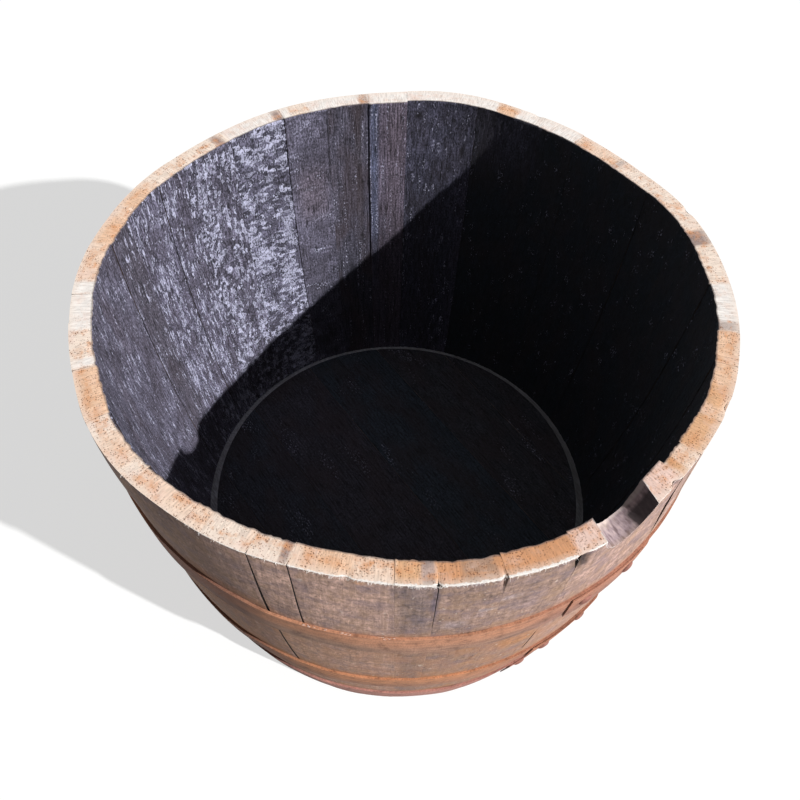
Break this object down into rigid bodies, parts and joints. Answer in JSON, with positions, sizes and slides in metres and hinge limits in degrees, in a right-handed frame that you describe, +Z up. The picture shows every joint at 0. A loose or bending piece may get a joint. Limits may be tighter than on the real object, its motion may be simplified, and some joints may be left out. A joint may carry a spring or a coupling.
{
  "type": "wooden barrel planter",
  "caption": "Half cask planter: bent oak staves round a tongued board head, charred inside, held by riveted steel hoops, open at a saw-cut rim.",
  "frame": {"origin": "on the floor, under the middle of the barrel", "axes": "+Z up the barrel's axis from the head to the open rim; the picture looks along +Y, with the bung notch at -53 degrees from +X"},
  "size_m": [0.65, 0.65, 0.45],
  "materials": {
    "stave_oak": "weathered oak outside, sawn rim, charred black inside",
    "bung_oak": "weathered oak outside, fresh saw cut at the bung hole, charred inside",
    "head_oak": "charred oak boards, grey bevelled edge",
    "dowel_oak": "plain turned oak",
    "hoop_steel": "rusted mild steel strip",
    "rivet_steel": "rusted mild steel rivet"
  },
  "bodies": {
    "root": {"bung_stave": "bung_oak", "stave_02": "stave_oak", "stave_03": "stave_oak", "stave_04": "stave_oak", "stave_05": "stave_oak", "stave_06": "stave_oak", "stave_07": "stave_oak", "stave_08": "stave_oak", "stave_09": "stave_oak", "stave_10": "stave_oak", "stave_11": "stave_oak", "stave_12": "stave_oak", "stave_13": "stave_oak", "stave_14": "stave_oak", "stave_15": "stave_oak", "stave_16": "stave_oak", "stave_17": "stave_oak", "stave_18": "stave_oak", "stave_19": "stave_oak", "stave_20": "stave_oak", "stave_21": "stave_oak", "stave_22": "stave_oak", "stave_23": "stave_oak", "stave_24": "stave_oak", "stave_25": "stave_oak", "stave_26": "stave_oak", "stave_27": "stave_oak", "stave_28": "stave_oak", "stave_29": "stave_oak", "stave_30": "stave_oak", "stave_31": "stave_oak", "stave_32": "stave_oak", "stave_33": "stave_oak", "stave_34": "stave_oak", "head_board_01": "head_oak", "head_board_02": "head_oak", "head_board_03": "head_oak", "head_board_04": "head_oak", "head_board_05": "head_oak", "head_board_06": "head_oak", "head_dowels": "dowel_oak", "bilge_hoop": "hoop_steel", "bilge_hoop_rivets": "rivet_steel", "quarter_hoop": "hoop_steel", "quarter_hoop_rivets": "rivet_steel", "chime_hoop": "hoop_steel", "chime_hoop_rivets": "rivet_steel"}
  },
  "joints": []
}
